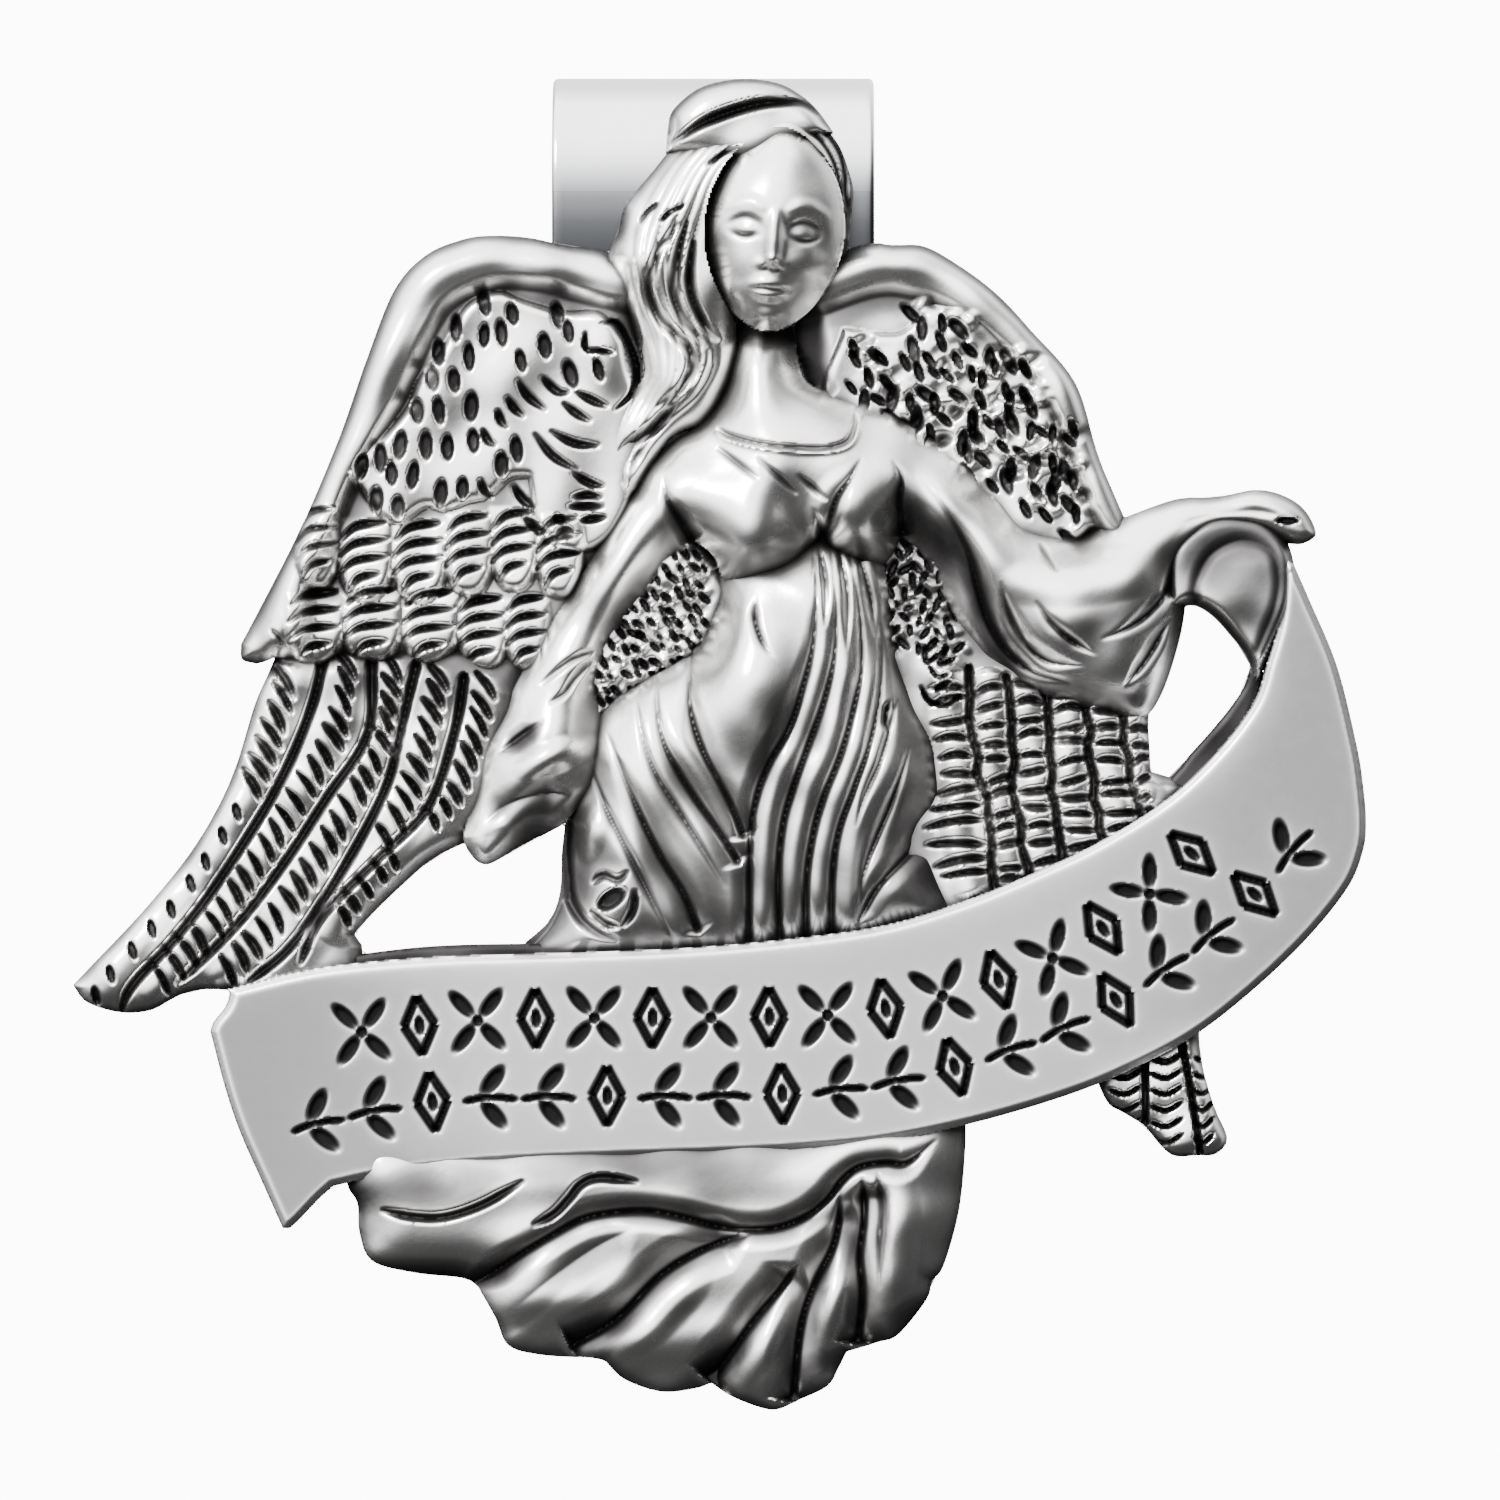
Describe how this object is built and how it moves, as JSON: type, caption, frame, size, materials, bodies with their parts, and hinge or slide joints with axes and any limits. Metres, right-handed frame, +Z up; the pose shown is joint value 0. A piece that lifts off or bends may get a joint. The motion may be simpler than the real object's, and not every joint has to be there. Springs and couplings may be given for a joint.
{
  "type": "sun visor clip ornament",
  "caption": "Cast pewter angel in relief with spread wings and a curved ribbon banner, on a U-shaped spring-steel visor clip.",
  "frame": {"origin": "on the inner face of the clip's front leg, on its centre line, at the height where the jaw pinches the visor", "axes": "+Z up towards the bend of the clip and the head, -Y out of the relief towards the viewer, +X to the viewer's right"},
  "size_m": [0.0599, 0.0172, 0.062],
  "materials": {
    "antique_pewter": "cast pewter, antiqued with a dark patina in the recesses and polished on the high parts",
    "satin_pewter": "satin pewter face with a bright bevelled edge",
    "spring_steel": "bright nickel-plated spring strip"
  },
  "bodies": {
    "casting": {"banner": "satin_pewter", "banner_curl": "antique_pewter", "bodice": "antique_pewter", "casting_web": "antique_pewter", "clip_front_leg": "spring_steel", "hair": "antique_pewter", "halo": "antique_pewter", "hand_right": "antique_pewter", "head": "antique_pewter", "skirt_lower": "antique_pewter", "skirt_upper": "antique_pewter", "sleeve_left": "antique_pewter", "sleeve_right": "antique_pewter", "stake_lower": "antique_pewter", "stake_upper": "antique_pewter", "wing_left_coverts_lower": "antique_pewter", "wing_left_coverts_middle": "antique_pewter", "wing_left_coverts_upper": "antique_pewter", "wing_left_inner": "antique_pewter", "wing_left_primary_1": "antique_pewter", "wing_left_primary_2": "antique_pewter", "wing_left_primary_3": "antique_pewter", "wing_left_primary_4": "antique_pewter", "wing_left_primary_5": "antique_pewter", "wing_left_rim": "antique_pewter", "wing_right_coverts": "antique_pewter", "wing_right_inner": "antique_pewter", "wing_right_primary_1": "antique_pewter", "wing_right_primary_2": "antique_pewter", "wing_right_primary_3": "antique_pewter", "wing_right_primary_4": "antique_pewter", "wing_right_primary_5": "antique_pewter", "wing_right_rim": "antique_pewter", "wing_right_tip_1": "antique_pewter", "wing_right_tip_2": "antique_pewter", "wing_right_tip_3": "antique_pewter"},
    "jaw": {"clip_jaw": "spring_steel"}
  },
  "joints": [
    {"name": "jaw_flex", "type": "hinge", "parent": "casting", "child": "jaw", "pos_m": [0, 0.005, 0.0312], "axis": [1, 0, 0], "range_deg": [0, 20], "stiffness_Nm_per_rad": 0.6}
  ]
}
